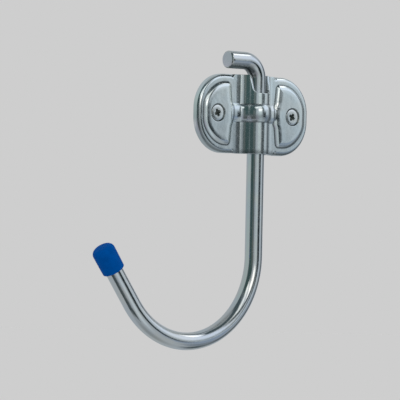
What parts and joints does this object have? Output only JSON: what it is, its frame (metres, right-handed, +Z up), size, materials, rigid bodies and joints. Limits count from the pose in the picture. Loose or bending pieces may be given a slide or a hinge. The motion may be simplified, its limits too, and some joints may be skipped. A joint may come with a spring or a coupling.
{
  "type": "folding wall hook",
  "caption": "Folding wall hook: a round steel bar bent into a J swings in the channel of a pressed wall plate, drops into a notch when it stands out, and has a plastic cap on its tip.",
  "frame": {"origin": "on the wall, midway between the two screws", "axes": "+Y into the wall, so the hook stands on the -Y side; +Z up; +X to the viewer's right. The hook is folded flat along the wall towards -X"},
  "size_m": [0.1565, 0.0256, 0.1699],
  "materials": {
    "zinc_sheet": "bright zinc plating, glossy",
    "zinc_bar": "bright zinc plating, drawn bar",
    "zinc_screw": "bright zinc plating",
    "blue_cap": "moulded soft plastic, satin"
  },
  "bodies": {
    "plate": {"mount_plate": "zinc_sheet", "screw_left": "zinc_screw", "screw_right": "zinc_screw"},
    "hook": {"hook_rod": "zinc_bar", "tip_cap": "blue_cap"}
  },
  "joints": [
    {"name": "hook_swing", "type": "hinge", "parent": "plate", "child": "hook", "pos_m": [0, -0.0065, 0], "axis": [0, 0, 1], "range_deg": [0, 180]}
  ]
}
